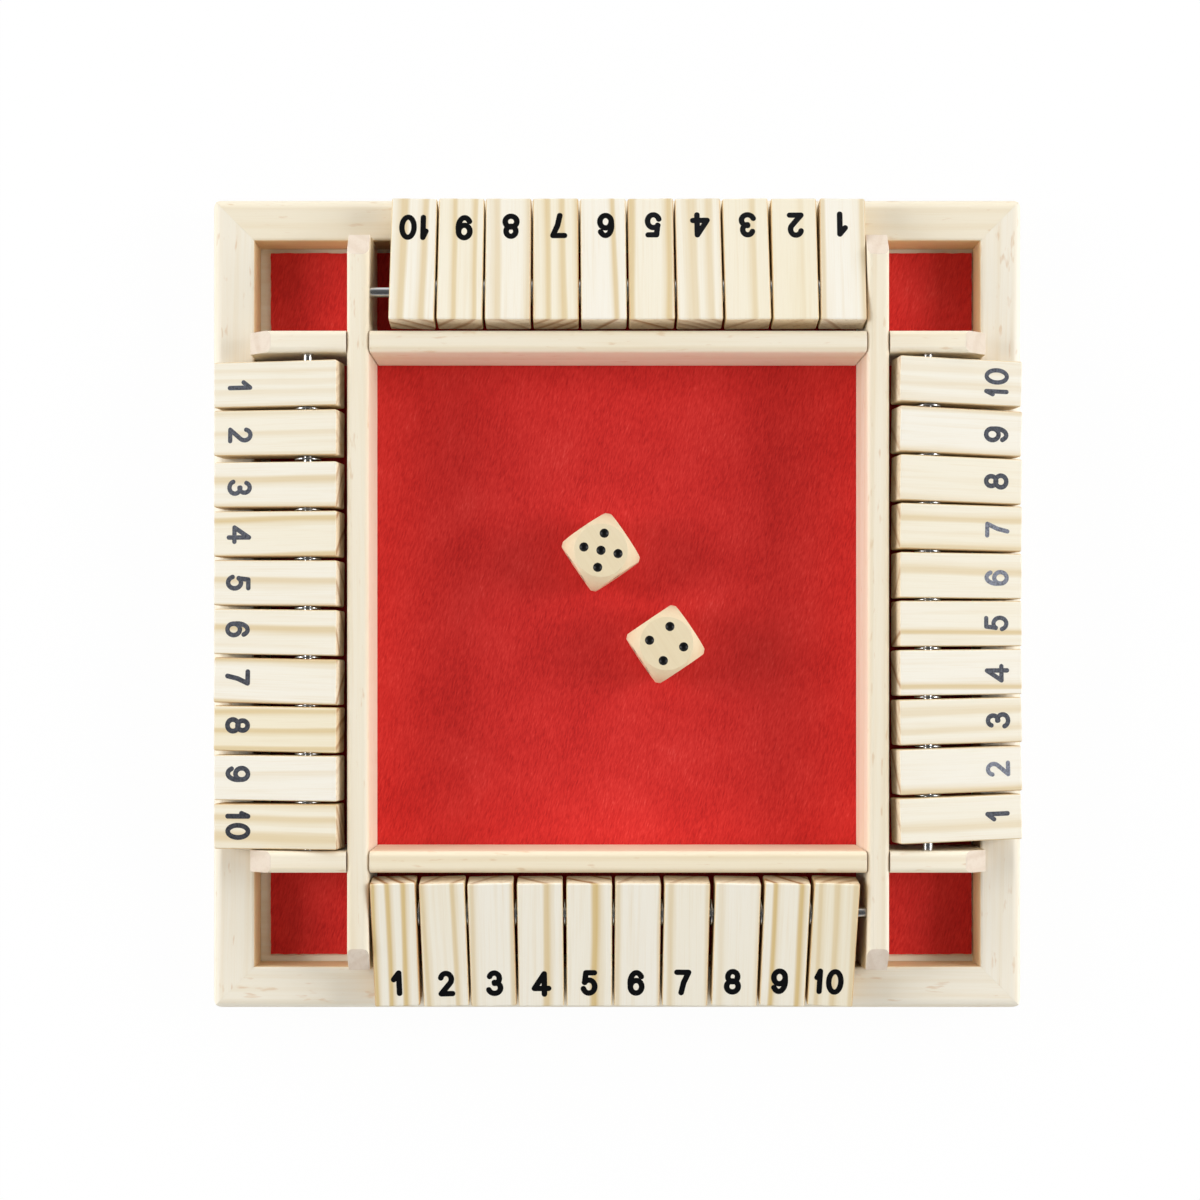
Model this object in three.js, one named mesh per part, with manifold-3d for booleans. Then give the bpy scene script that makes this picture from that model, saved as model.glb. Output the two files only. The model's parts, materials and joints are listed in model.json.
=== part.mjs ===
// Shut the box for four players: a square pine tray with a felt floor. Four bars cross in a # and
// leave a dice well in the middle. Ten numbered tiles hang loose on a steel rod along each side.
// Millimetres, +Z up. The origin is at the centre of the underside, player 1 sits at -Y.
import * as THREE from "three";
import { mergeVertices } from "three/addons/utils/BufferGeometryUtils.js";
import Module from "manifold-3d";

const wasm = await Module();
wasm.setup();

// Fits
const glueGap = 0.2; // glued pieces: rails, dividers and the let-in board
const restGap = 0.3; // what lies loose on something: tiles and dice
const overrun = 2; // how far a cutting shape runs past what it cuts

// Tiles, drilled across near their heel
const tileCount = 10;
const tilePlay = 0.8; // free room along the rod for each tile
const tileLength = 34;
const tileThickness = 8;
const tileEdge = 0.45; // eased edge all round
const heelLength = 9; // from the bore to the inner end
const borePlay = 0.2; // between the rod and the bore when the tile stands as crooked as it can
const mostLean = 2.3 * THREE.MathUtils.DEG2RAD; // as crooked as a tile stands on its rod

// Rods, each with thin washers that keep the tiles apart
const rodDiameter = 2.7;
const rodEngage = 3.6; // how far an end goes into the wood
const rodEndPlay = 0.4;
const rodEndChamfer = 0.3;
const rodHeight = 23.5; // its centre line above the table
const washerDiameter = 7.2;
const washerThickness = 0.35;
const roundSides = 12; // of rods, washers and bores

// Dividers with rounded tops
const dividerThickness = 5.8;
const dividerHeight = 27.7; // its crown above the table
const crownRound = 1.5; // of both long edges of the top, with a narrow flat between them
const crownSteps = 4;
const endBevelRun = 6.2; // plan length of the slope that takes the top corner off an outer end
const endBevelDrop = 4.8;

// Tray
const bayWidth = 132.5; // clear width between the dividers, which is also the side of the dice well
const compartmentWidth = 26.55; // from a divider to the rail, also the side of a corner compartment
const railWidth = 11.4;
const railHeight = 15;
const railRound = 2.8; // outer top edge
const railInnerRound = 0.8;
const railRoundSteps = 4;
const cornerRound = 2.8; // the tray's upright corners
const boardThickness = 4;
const rebateWidth = 5; // how far the board goes into the rails
const feltThickness = 1;
const feltMargin = 1.6; // how much shorter than the floor the felt is cut, on each side
const feltShiftX = 1.25; // it lies a little off centre
const feltShiftY = 0.4;

// Dice
const dieSize = 16;
const dieFlat = 15; // diameter of the flat round face that the rounding leaves
const dieTurn = 34 * THREE.MathUtils.DEG2RAD;
const dieSphereSides = 28;
const pipDiameter = 2.5;
const pipDepth = 0.7;
const pipPitch = 3.3; // from the centre of a face to a row of pips
const pipSides = 8;
const dice = [
  { name: "die_1", placeShares: [-0.034, 0.106], top: 5, front: 1 }, // of the well's width
  { name: "die_2", placeShares: [0.099, -0.083], top: 4, front: 1 },
];

// The four sides in the order of their turn about +Z, and how each row of tiles has settled:
// gapShares is the free room at each washer in shares of the tiles' play, shiftShare is how far the
// row has slid towards the high numbers in shares of the room at its end, and leanShares say how
// far each tile's outer end leans that way, in shares of mostLean.
const sides = [
  {
    name: "bottom",
    gapShares: [0.75, 0.45, 0.7, 0.75, 0.55, 0.65, 1.2, 0.8, 0.7],
    shiftShare: -0.6,
    leanShares: [0.65, 0.7, 0.6, 0.25, 0.05, -0.15, -0.35, -0.55, -0.8, -1],
  },
  {
    name: "right",
    gapShares: [0.65, 0.85, 0.8, 0.7, 0.5, 0.6, 0.45, 0.55, 1.05],
    shiftShare: 0.27,
    leanShares: [0.75, 0.7, 0.55, 0.3, 0.15, -0.1, -0.4, -0.6, -0.7, -0.6],
  },
  {
    name: "top",
    gapShares: [0.35, 0.35, 0.35, 0.35, 0.35, 0.35, 0.35, 0.35, 0.35],
    shiftShare: -0.875,
    leanShares: [-0.2, 0.15, 0.4, 0.35, 0.25, 0.2, 0.1, -0.05, -0.25, -0.35],
  },
  {
    name: "left",
    gapShares: [0.8, 1.7, 0.8, 0.85, 0.85, 0.75, 0.4, 0.6, 0.5],
    shiftShare: 0.69,
    leanShares: [0, -0.25, -0.25, -0.2, -0.35, -0.45, -0.5, -0.4, -0.1, 0.1],
  },
];

// Ten tiles with their washers and their play fill a bay.
const tileWidth = bayWidth / tileCount - washerThickness - tilePlay;

// Places that follow from the sizes
const bayHalf = bayWidth / 2;
const dividerCentre = bayHalf + dividerThickness / 2;
const dividerOuter = bayHalf + dividerThickness;
const railInner = dividerOuter + compartmentWidth;
const trayHalf = railInner + railWidth;
const floorHeight = boardThickness + feltThickness;
const heelSwing = Math.hypot(heelLength, tileThickness / 2); // radius that the heel sweeps
const heelClearance = 0.95; // between the sweeping heel and the divider
const rodCentre = dividerOuter + heelSwing + heelClearance;
const rodRadius = rodDiameter / 2;

// A tile's outer end rests on the rail, so the height of the rod sets its tilt.
const toeLength = tileLength - heelLength;
const toeReach = Math.hypot(toeLength, tileThickness / 2);
const toeDrop = rodHeight - railHeight - restGap;
const tileTilt = Math.asin(toeDrop / toeReach) - Math.atan2(tileThickness / 2, toeLength);
const facetShare = Math.cos(Math.PI / roundSides); // flat-to-flat over corner-to-corner
const boreRadius =
  (rodRadius / Math.cos(mostLean) + (tileWidth / 2) * Math.tan(mostLean) + borePlay) / facetShare;

// Colours and finishes
const pine = { color: 0xe9d8b4, roughness: 0.6, metalness: 0 };
const palePine = { color: 0xefe2c6, roughness: 0.6, metalness: 0 };
const plywood = { color: 0xceb89a, roughness: 0.75, metalness: 0 };
const redFelt = { color: 0xc32a24, roughness: 0.95, metalness: 0 };
const steel = { color: 0xc9cbce, roughness: 0.28, metalness: 1 };
const dieWood = { color: 0xefdfbf, roughness: 0.5, metalness: 0 };

const game = new THREE.Group();
const quarterTurn = Math.PI / 2;

// Directions that an extrusion can be stood in: outline x, outline y, and along the extrusion
const alongX = new THREE.Matrix4().makeBasis(
  new THREE.Vector3(0, 1, 0),
  new THREE.Vector3(0, 0, 1),
  new THREE.Vector3(1, 0, 0),
);
const alongY = new THREE.Matrix4().makeBasis(
  new THREE.Vector3(1, 0, 0),
  new THREE.Vector3(0, 0, 1),
  new THREE.Vector3(0, -1, 0),
);
const acrossTile = new THREE.Matrix4().makeBasis(
  new THREE.Vector3(0, -1, 0),
  new THREE.Vector3(0, 0, 1),
  new THREE.Vector3(-1, 0, 0),
);

function solidOf(geometry) {
  const bare = geometry.clone();
  bare.deleteAttribute("normal");
  bare.deleteAttribute("uv");
  const merged = mergeVertices(bare);
  return new wasm.Manifold(
    new wasm.Mesh({
      numProp: 3,
      vertProperties: new Float32Array(merged.attributes.position.array),
      triVerts: new Uint32Array(merged.index.array),
    }),
  );
}

function geometryOf(solid) {
  const mesh = solid.getMesh();
  const geometry = new THREE.BufferGeometry();
  geometry.setAttribute("position", new THREE.BufferAttribute(mesh.vertProperties, 3));
  geometry.setIndex(new THREE.BufferAttribute(mesh.triVerts, 1));
  geometry.computeVertexNormals();
  return geometry;
}

function piece(name, geometry, finish) {
  const mesh = new THREE.Mesh(geometry, new THREE.MeshStandardMaterial({ ...finish, flatShading: true }));
  mesh.name = name;
  return mesh;
}

// A prism of the outline, centred on its own length and stood in the given direction.
function prism(outline, length, direction, curveSegments = crownSteps) {
  const geometry = new THREE.ExtrudeGeometry(outline, { depth: length, bevelEnabled: false, curveSegments });
  geometry.translate(0, 0, -length / 2);
  return geometry.applyMatrix4(direction);
}

function polygon(points) {
  return new THREE.Shape(points.map(([x, y]) => new THREE.Vector2(x, y)));
}

// The rail's section, seen along the rail with the outside of the tray at the left: flat below,
// rebated for the board, with a small round inside and a large one outside.
function railSection() {
  const boardSeat = boardThickness + glueGap;
  const section = new THREE.Shape();
  section.moveTo(-trayHalf, 0);
  section.lineTo(-railInner - rebateWidth, 0);
  section.lineTo(-railInner - rebateWidth, boardSeat);
  section.lineTo(-railInner, boardSeat);
  section.lineTo(-railInner, railHeight - railInnerRound);
  section.absarc(-railInner - railInnerRound, railHeight - railInnerRound, railInnerRound, 0, quarterTurn);
  section.lineTo(-trayHalf + railRound, railHeight);
  section.absarc(-trayHalf + railRound, railHeight - railRound, railRound, quarterTurn, Math.PI);
  return section;
}

function roundedSquare(half, radius) {
  const square = new THREE.Shape();
  square.absarc(half - radius, half - radius, radius, 0, quarterTurn);
  square.absarc(-half + radius, half - radius, radius, quarterTurn, Math.PI);
  square.absarc(-half + radius, -half + radius, radius, Math.PI, Math.PI + quarterTurn);
  square.absarc(half - radius, -half + radius, radius, Math.PI + quarterTurn, Math.PI * 2);
  return square;
}

// The rail at -Y: its section, mitred at 45 degrees, inside the rounded square of the tray.
function railGeometry() {
  const along = 2 * (trayHalf + overrun);
  const tall = 2 * (railHeight + overrun);
  const upright = new THREE.Matrix4();
  const bar = solidOf(prism(railSection(), along, alongX, railRoundSteps / 2));
  const tray = solidOf(prism(roundedSquare(trayHalf, cornerRound), tall, upright, railRoundSteps / 2));
  const mitreOffset = (glueGap / 2) * Math.SQRT2;
  const wedgeReach = trayHalf + overrun;
  const wedge = polygon([
    [0, -mitreOffset],
    [-wedgeReach, -mitreOffset - wedgeReach],
    [wedgeReach, -mitreOffset - wedgeReach],
  ]);
  return geometryOf(bar.intersect(tray).intersect(solidOf(prism(wedge, tall, upright))));
}

function boardGeometry() {
  const side = 2 * (railInner + rebateWidth - glueGap);
  return new THREE.BoxGeometry(side, side, boardThickness).translate(0, 0, boardThickness / 2);
}

function feltGeometry() {
  const side = 2 * (railInner - feltMargin);
  const middle = boardThickness + feltThickness / 2;
  return new THREE.BoxGeometry(side, side, feltThickness).translate(feltShiftX, feltShiftY, middle);
}

// The holes that the four rods' ends sit in, as one cutting solid
function rodHoles() {
  const length = bayWidth + 2 * (rodEngage + rodEndPlay);
  const hole = new THREE.CylinderGeometry(rodRadius + glueGap, rodRadius + glueGap, length, roundSides);
  hole.rotateZ(quarterTurn).translate(0, -rodCentre, rodHeight);
  const holes = sides.map((side, turn) => solidOf(hole.clone().rotateZ(turn * quarterTurn)));
  return wasm.Manifold.union(holes);
}

// A divider along X between two ends. A butt end is square. An outer end stands against the
// inside of the rail, and a slope takes its top corner off.
function dividerSolid(start, end) {
  const half = dividerThickness / 2;
  const spring = dividerHeight - crownRound;
  const section = new THREE.Shape();
  section.moveTo(-half, floorHeight);
  section.lineTo(half, floorHeight);
  section.absarc(half - crownRound, spring, crownRound, 0, quarterTurn);
  section.absarc(-half + crownRound, spring, crownRound, quarterTurn, Math.PI);
  const endPoints = ({ at, outer }) => {
    const out = Math.sign(at);
    if (!outer) return [[at, 0], [at, dividerHeight + overrun]];
    const slopeRun = ((endBevelDrop + overrun) * endBevelRun) / endBevelDrop;
    return [
      [at, 0],
      [at, dividerHeight - endBevelDrop],
      [at - out * slopeRun, dividerHeight + overrun],
    ];
  };
  const profile = polygon([...endPoints(start).reverse(), ...endPoints(end)]);
  const length = 2 * (trayHalf + overrun);
  const side = solidOf(prism(profile, dividerThickness + overrun, alongY));
  return solidOf(prism(section, length, alongX)).intersect(side);
}

// A tile in its own frame: the bore on the X axis, the outer end towards -Y, the face up.
function tileGeometry() {
  const top = tileThickness / 2;
  const outline = polygon([
    [-heelLength + tileEdge, -top],
    [toeLength - tileEdge, -top],
    [toeLength, -top + tileEdge],
    [toeLength, top - tileEdge],
    [toeLength - tileEdge, top],
    [-heelLength + tileEdge, top],
    [-heelLength, top - tileEdge],
    [-heelLength, -top + tileEdge],
  ]);
  const bore = new THREE.Path();
  bore.absarc(0, 0, boreRadius, 0, Math.PI * 2, true);
  outline.holes.push(bore);
  const straight = tileWidth - 2 * tileEdge;
  const geometry = new THREE.ExtrudeGeometry(outline, {
    depth: straight,
    bevelEnabled: true,
    bevelThickness: tileEdge,
    bevelSize: tileEdge,
    bevelOffset: -tileEdge,
    bevelSegments: 1,
    curveSegments: roundSides / 2,
  });
  geometry.translate(0, 0, -straight / 2);
  return geometry.applyMatrix4(acrossTile);
}

// A rod along X with its washers, which stand at the given places along it
function rodGeometry(washerPlaces) {
  const half = bayHalf + rodEngage;
  const washerRadius = washerDiameter / 2;
  const profile = [
    new THREE.Vector2(0, -half),
    new THREE.Vector2(rodRadius - rodEndChamfer, -half),
    new THREE.Vector2(rodRadius, -half + rodEndChamfer),
  ];
  for (const middle of washerPlaces) {
    const low = middle - washerThickness / 2;
    const high = middle + washerThickness / 2;
    profile.push(new THREE.Vector2(rodRadius, low));
    profile.push(new THREE.Vector2(washerRadius, low));
    profile.push(new THREE.Vector2(washerRadius, high));
    profile.push(new THREE.Vector2(rodRadius, high));
  }
  profile.push(new THREE.Vector2(rodRadius, half - rodEndChamfer));
  profile.push(new THREE.Vector2(rodRadius - rodEndChamfer, half));
  profile.push(new THREE.Vector2(0, half));
  return new THREE.LatheGeometry(profile, roundSides).rotateZ(-quarterTurn);
}

// Pip places on a face, in shares of the pip pitch
const pipShares = {
  1: [[0, 0]],
  2: [[-1, 1], [1, -1]],
  3: [[-1, 1], [0, 0], [1, -1]],
  4: [[-1, 1], [1, 1], [-1, -1], [1, -1]],
  5: [[-1, 1], [1, 1], [0, 0], [-1, -1], [1, -1]],
  6: [[-1, 1], [1, 1], [-1, 0], [1, 0], [-1, -1], [1, -1]],
};

// A die centred on the origin: a cube rounded by a ball, with a dimple for each pip. Opposite
// faces add up to seven.
function dieGeometry(top, front) {
  const half = dieSize / 2;
  const ball = new THREE.SphereGeometry(Math.hypot(half, dieFlat / 2), dieSphereSides, dieSphereSides / 2);
  const cube = new THREE.BoxGeometry(dieSize, dieSize, dieSize);
  const oppositeSum = 7;
  const right = [1, 2, 3].find((n) => ![top, oppositeSum - top, front, oppositeSum - front].includes(n));
  const faces = [
    { count: top, turn: new THREE.Matrix4() },
    { count: oppositeSum - top, turn: new THREE.Matrix4().makeRotationX(Math.PI) },
    { count: front, turn: new THREE.Matrix4().makeRotationX(quarterTurn) },
    { count: oppositeSum - front, turn: new THREE.Matrix4().makeRotationX(-quarterTurn) },
    { count: right, turn: new THREE.Matrix4().makeRotationY(quarterTurn) },
    { count: oppositeSum - right, turn: new THREE.Matrix4().makeRotationY(-quarterTurn) },
  ];
  const pipRadius = pipDiameter / 2;
  const cutterRadius = (pipRadius ** 2 + pipDepth ** 2) / (2 * pipDepth);
  const cutters = faces.flatMap(({ count, turn }) =>
    pipShares[count].map(([across, up]) => {
      const cutter = new THREE.SphereGeometry(cutterRadius, pipSides, pipSides);
      cutter.rotateX(quarterTurn);
      cutter.translate(across * pipPitch, up * pipPitch, half - pipDepth + cutterRadius);
      return solidOf(cutter.applyMatrix4(turn));
    }),
  );
  return geometryOf(solidOf(cube).intersect(solidOf(ball)).subtract(wasm.Manifold.union(cutters)));
}

// Floor
game.add(piece("base_board", boardGeometry(), plywood));
game.add(piece("felt_sheet", feltGeometry(), redFelt));

// Dividers, each with the holes for the rods that end in it
const holes = rodHoles();
const outerEnd = { at: railInner - glueGap, outer: true };
const innerEnd = { at: -railInner + glueGap, outer: true };
const crossbarReach = bayHalf - glueGap;
const cornerStart = dividerOuter + glueGap;
const bars = [
  { name: "long_divider_left", from: innerEnd, to: outerEnd, offset: dividerCentre, turn: 1 },
  { name: "long_divider_right", from: innerEnd, to: outerEnd, offset: -dividerCentre, turn: 1 },
  { name: "well_divider_bottom", from: { at: -crossbarReach }, to: { at: crossbarReach }, offset: -dividerCentre },
  { name: "well_divider_top", from: { at: -crossbarReach }, to: { at: crossbarReach }, offset: dividerCentre },
  { name: "corner_divider_bottom_left", from: innerEnd, to: { at: -cornerStart }, offset: -dividerCentre },
  { name: "corner_divider_bottom_right", from: { at: cornerStart }, to: outerEnd, offset: -dividerCentre },
  { name: "corner_divider_top_left", from: innerEnd, to: { at: -cornerStart }, offset: dividerCentre },
  { name: "corner_divider_top_right", from: { at: cornerStart }, to: outerEnd, offset: dividerCentre },
];
for (const { name, from, to, offset, turn = 0 } of bars) {
  const placed = geometryOf(dividerSolid(from, to)).translate(0, offset, 0).rotateZ(turn * quarterTurn);
  game.add(piece(name, geometryOf(solidOf(placed).subtract(holes)), pine));
}

// Rails, rods and tiles, the same on each side but for how the tiles have settled
const rail = railGeometry();
const tile = tileGeometry();
sides.forEach(({ name, gapShares, shiftShare, leanShares }, turn) => {
  const side = new THREE.Group();
  side.rotation.z = turn * quarterTurn;
  side.add(piece(`rail_${name}`, rail, pine));

  const gaps = gapShares.map((share) => washerThickness + share * tilePlay);
  const rowLength = gaps.reduce((sum, gap) => sum + gap, tileCount * tileWidth);
  const rowStart = (shiftShare * (bayWidth - rowLength) - rowLength) / 2;
  const tilePlaces = leanShares.map((_, index) => {
    const gapsBefore = gaps.slice(0, index).reduce((sum, gap) => sum + gap, 0);
    return rowStart + gapsBefore + (index + 0.5) * tileWidth;
  });
  const washerPlaces = gaps.map((gap, index) => tilePlaces[index] + (tileWidth + gap) / 2);
  const rod = piece(`rod_${name}`, rodGeometry(washerPlaces), steel);
  rod.position.set(0, -rodCentre, rodHeight);
  side.add(rod);

  leanShares.forEach((leanShare, index) => {
    const one = piece(`tile_${name}_${index + 1}`, tile, palePine);
    one.position.set(tilePlaces[index], -rodCentre, rodHeight);
    one.rotation.set(tileTilt, 0, leanShare * mostLean, "ZXY");
    side.add(one);
  });
  game.add(side);
});

// Dice, lying in the well
for (const { name, placeShares, top, front } of dice) {
  const die = piece(name, dieGeometry(top, front), dieWood);
  const [across, along] = placeShares;
  die.position.set(across * bayWidth, along * bayWidth, floorHeight + restGap + dieSize / 2);
  die.rotation.z = dieTurn;
  game.add(die);
}

export default game;
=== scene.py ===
# %% [markdown]
# # A four-player shut the box game
# The game is a square pine tray with a red felt floor. Four bars cross in a # and leave a dice
# well in the middle, and ten numbered wooden tiles hang on a steel rod along each side. This
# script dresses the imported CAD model: it reads each piece's size and place from that model, and
# makes the rounded edges, the wood, the felt and the printed numbers around it.

# %% Load the frame
import json
import math
import random

import bmesh
import bpy
from mathutils import Matrix, Vector, geometry, noise


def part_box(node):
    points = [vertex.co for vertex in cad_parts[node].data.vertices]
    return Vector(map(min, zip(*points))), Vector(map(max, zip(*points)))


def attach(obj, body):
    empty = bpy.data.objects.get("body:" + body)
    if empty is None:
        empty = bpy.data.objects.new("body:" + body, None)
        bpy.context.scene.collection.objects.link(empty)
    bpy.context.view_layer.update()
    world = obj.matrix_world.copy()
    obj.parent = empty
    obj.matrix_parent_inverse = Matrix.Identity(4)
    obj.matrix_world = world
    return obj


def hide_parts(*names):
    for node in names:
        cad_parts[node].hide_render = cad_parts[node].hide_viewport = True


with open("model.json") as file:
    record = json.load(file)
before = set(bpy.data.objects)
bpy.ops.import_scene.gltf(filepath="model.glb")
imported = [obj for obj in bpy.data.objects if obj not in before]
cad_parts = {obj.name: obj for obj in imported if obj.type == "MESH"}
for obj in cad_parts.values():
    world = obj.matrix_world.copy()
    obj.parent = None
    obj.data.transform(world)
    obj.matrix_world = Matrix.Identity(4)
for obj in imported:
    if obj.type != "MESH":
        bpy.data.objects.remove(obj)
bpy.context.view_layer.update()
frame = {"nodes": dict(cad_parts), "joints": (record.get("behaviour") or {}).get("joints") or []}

MM = 0.001
UP = Vector((0, 0, 1))
SIDES = ("bottom", "right", "top", "left")  # in the order of their turn about Z
scene = bpy.context.scene
scene.view_settings.view_transform = "Standard"

# %% [markdown]
# ## The camera
# The photograph looks straight down from about 55 cm, with the tray a little above the middle of
# the picture. A camera that is tilted to frame it so would make upright lines run together, and
# the photograph shows none of that. So the camera points straight down, and the lens is shifted,
# as on a view camera.

# %% Camera
PICTURE = 1200  # pixels on a side
FOCAL_PIXELS = 1966.4
PIXEL_BELOW_EYE = (584.0, 687.2)
SENSOR = 36.0

camera_data = bpy.data.cameras.new("camera")
camera_data.sensor_width = SENSOR
camera_data.lens = SENSOR * FOCAL_PIXELS / PICTURE
camera_data.shift_x = (PICTURE / 2 - PIXEL_BELOW_EYE[0]) / PICTURE
camera_data.shift_y = (PIXEL_BELOW_EYE[1] - PICTURE / 2) / PICTURE
camera = bpy.data.objects.new("camera", camera_data)
camera.location = Vector((-9.06, -22.72, 549.26)) * MM
scene.collection.objects.link(camera)
scene.camera = camera
print("camera: lens", round(camera_data.lens, 2), "mm at", [round(v, 4) for v in camera.location])

# %% [markdown]
# ## One function for nodes, one for colours
# A material is a small tree of nodes. Adding a node always means the same three things: its
# kind, its settings, and what each input gets, which is a number or another node's output.
# Colours are written as the sRGB hex values that a paint chart gives, and Blender works in
# linear light, so one function converts them.

# %% Nodes and colours
MIX_A, MIX_B, MIX_RESULT = 6, 7, 2  # the colour sockets of a Mix node


def srgb(code):
    """The linear colour of a hex value such as #EFE2C6."""
    channels = [int(code[i : i + 2], 16) / 255 for i in (1, 3, 5)]
    linear = [c / 12.92 if c <= 0.04045 else ((c + 0.055) / 1.055) ** 2.4 for c in channels]
    return (*linear, 1.0)


def add(tree, kind, inputs=None, stops=None, **settings):
    """Adds a node. inputs gives each input a number, a colour or another node's output."""
    node = tree.nodes.new("ShaderNode" + kind)
    for name, value in settings.items():
        setattr(node, name, value)
    for name, value in (inputs or {}).items():
        if isinstance(value, bpy.types.NodeSocket):
            tree.links.new(value, node.inputs[name])
        else:
            node.inputs[name].default_value = value
    for index, (place, colour) in enumerate(stops or []):
        elements = node.color_ramp.elements
        stop = elements[index] if index < 2 else elements.new(place)
        stop.position = place
        stop.color = colour
    return node


def new_material(name):
    """An empty node tree with its output, and the material that holds it."""
    material = bpy.data.materials.new(name)
    material.use_nodes = True
    material.node_tree.nodes.clear()
    return material, material.node_tree


def grey(value):
    return (value, value, value, 1.0)


print("srgb check:", [round(c, 3) for c in srgb("#808080")])

# %% [markdown]
# ## Light and background
# The photograph is a catalogue picture on white. Upright faces are almost as bright as level
# ones, and those that face up the picture are brighter than those that face down it, so most of
# the light comes in low: from two large lamps at the sides, and from a room that is bright all
# round, most of all behind. Overhead the room is dark, because the camera hangs there. Lamps and
# room add up to one on a level surface, so a colour renders about as it is written.

# %% World and lamps
ROOM_LIGHT = 2.2  # strength of the brightest part of the room, which gives a level surface 0.62
FRONT_SHARE = 0.58  # of that, in front
OVERHEAD_SHARE = 0.12
DIM_FROM, DIM_TO = 0.2, 0.8  # heights of a direction between which the room dims
LAMPS = (
    # name, azimuth, share of the light on a level surface
    ("softbox_left", 174, 0.195),
    ("softbox_right", 6, 0.21),
)
LAMP_RISE = math.radians(30)
LAMP_DISTANCE = 1.2
LAMP_SIZE = 0.5

world = bpy.data.worlds.new("white_room")
scene.world = world
world.use_nodes = True
tree = world.node_tree
tree.nodes.clear()
facing = add(tree, "SeparateXYZ", {0: add(tree, "TexCoord").outputs["Generated"]})
behind = add(
    tree,
    "MapRange",
    {"Value": facing.outputs["Y"], "From Min": -0.8, "From Max": 0.8, "To Min": FRONT_SHARE, "To Max": 1.0},
    interpolation_type="SMOOTHSTEP",
)
overhead = add(
    tree,
    "MapRange",
    {
        "Value": facing.outputs["Z"],
        "From Min": DIM_FROM,
        "From Max": DIM_TO,
        "To Min": 1.0,
        "To Max": OVERHEAD_SHARE,
    },
    interpolation_type="SMOOTHSTEP",
)
room = add(tree, "Math", {0: behind.outputs[0], 1: overhead.outputs[0]}, operation="MULTIPLY")
path = add(tree, "LightPath")
mirrored = add(
    tree,
    "Math",
    {0: path.outputs["Is Glossy Ray"], 1: path.outputs["Is Transmission Ray"]},
    operation="MAXIMUM",
)
level = add(tree, "MapRange", {"Value": mirrored.outputs[0], "To Min": ROOM_LIGHT, "To Max": 1.0})
lit = add(tree, "Math", {0: room.outputs[0], 1: level.outputs[0]}, operation="MULTIPLY")
strength = add(tree, "Mix", {0: path.outputs["Is Camera Ray"], 2: lit.outputs[0], 3: 1.0})
sky = add(tree, "Background", {"Color": grey(1.0), "Strength": strength.outputs[0]})
add(tree, "OutputWorld", {"Surface": sky.outputs[0]})

for name, azimuth, share in LAMPS:
    lamp_data = bpy.data.lights.new(name, "AREA")
    lamp_data.shape = "SQUARE"
    lamp_data.size = LAMP_SIZE
    turn = math.radians(azimuth)
    flat = math.cos(LAMP_RISE)
    towards = Vector((math.cos(turn) * flat, math.sin(turn) * flat, math.sin(LAMP_RISE)))
    lamp_data.energy = share * math.pi**2 * LAMP_DISTANCE**2 / math.sin(LAMP_RISE)
    lamp = bpy.data.objects.new(name, lamp_data)
    lamp.location = towards * LAMP_DISTANCE
    lamp.rotation_euler = towards.to_track_quat("Z", "Y").to_euler()
    scene.collection.objects.link(lamp)
    print(name, round(lamp_data.energy, 2), "W")

# %% [markdown]
# ## The floor
# The floor is one wide white sheet. To the camera it is mostly a plain white of strength 1, so
# that it is as white as the photograph's ground, and partly a real matt surface, so that the
# tray still leaves a soft shadow. To every other ray it is a matt mid grey, because the light
# that a white sheet throws back would be a third to a half of all that the rails' upright
# sides get, and would wash them out.

# %% Floor
FLOOR_SIZE = 8.0
FLOOR_GLOW = 0.96
FLOOR_SEEN = "#FFFFFF"
FLOOR_LIT = "#B0B0B0"

paper, tree = new_material("white_background_paper")
path = add(tree, "LightPath")
direct, glossy, glass = (path.outputs[f"Is {ray} Ray"] for ray in ("Camera", "Glossy", "Transmission"))
seen = add(tree, "Math", {0: direct, 1: glossy}, operation="MAXIMUM")
seen = add(tree, "Math", {0: seen.outputs[0], 1: glass}, operation="MAXIMUM")
glow = add(tree, "Math", {0: seen.outputs[0], 1: FLOOR_GLOW}, operation="MULTIPLY")
surface_colours = {0: seen.outputs[0], MIX_A: srgb(FLOOR_LIT), MIX_B: srgb(FLOOR_SEEN)}
sheet = add(tree, "Mix", surface_colours, data_type="RGBA")
matt = add(tree, "BsdfDiffuse", {"Color": sheet.outputs[MIX_RESULT]})
white = add(tree, "Emission", {"Color": grey(1.0), "Strength": 1.0})
both = add(tree, "MixShader", {0: glow.outputs[0], 1: matt.outputs[0], 2: white.outputs[0]})
add(tree, "OutputMaterial", {"Surface": both.outputs[0]})

bm = bmesh.new()
bmesh.ops.create_grid(bm, x_segments=1, y_segments=1, size=FLOOR_SIZE / 2)
floor_mesh = bpy.data.meshes.new("floor")
bm.to_mesh(floor_mesh)
bm.free()
floor_mesh.materials.append(paper)
floor = bpy.data.objects.new("floor", floor_mesh)
scene.collection.objects.link(floor)
print("floor:", FLOOR_SIZE, "m")

# %% [markdown]
# ## Pine, sawn, sanded and lacquered
# A board is cut out of a trunk, so its figure is a cut through growth rings. The shader does
# the same. Each wooden piece carries an attribute, grain, which gives every point its place in
# the trunk, with the pith at the origin and the fibres along Y. The distance from the pith then
# gives straight bands on the face and arcs on the end, and all of them agree round the edges. A
# band of late wood is the same couple of millimetres wide whether its rings are close or far
# apart: it darkens slowly and stops at once. A second attribute, board, holds what differs from
# one board to the next: rings per metre, how yellow it is, and how strongly its bands show.

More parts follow.
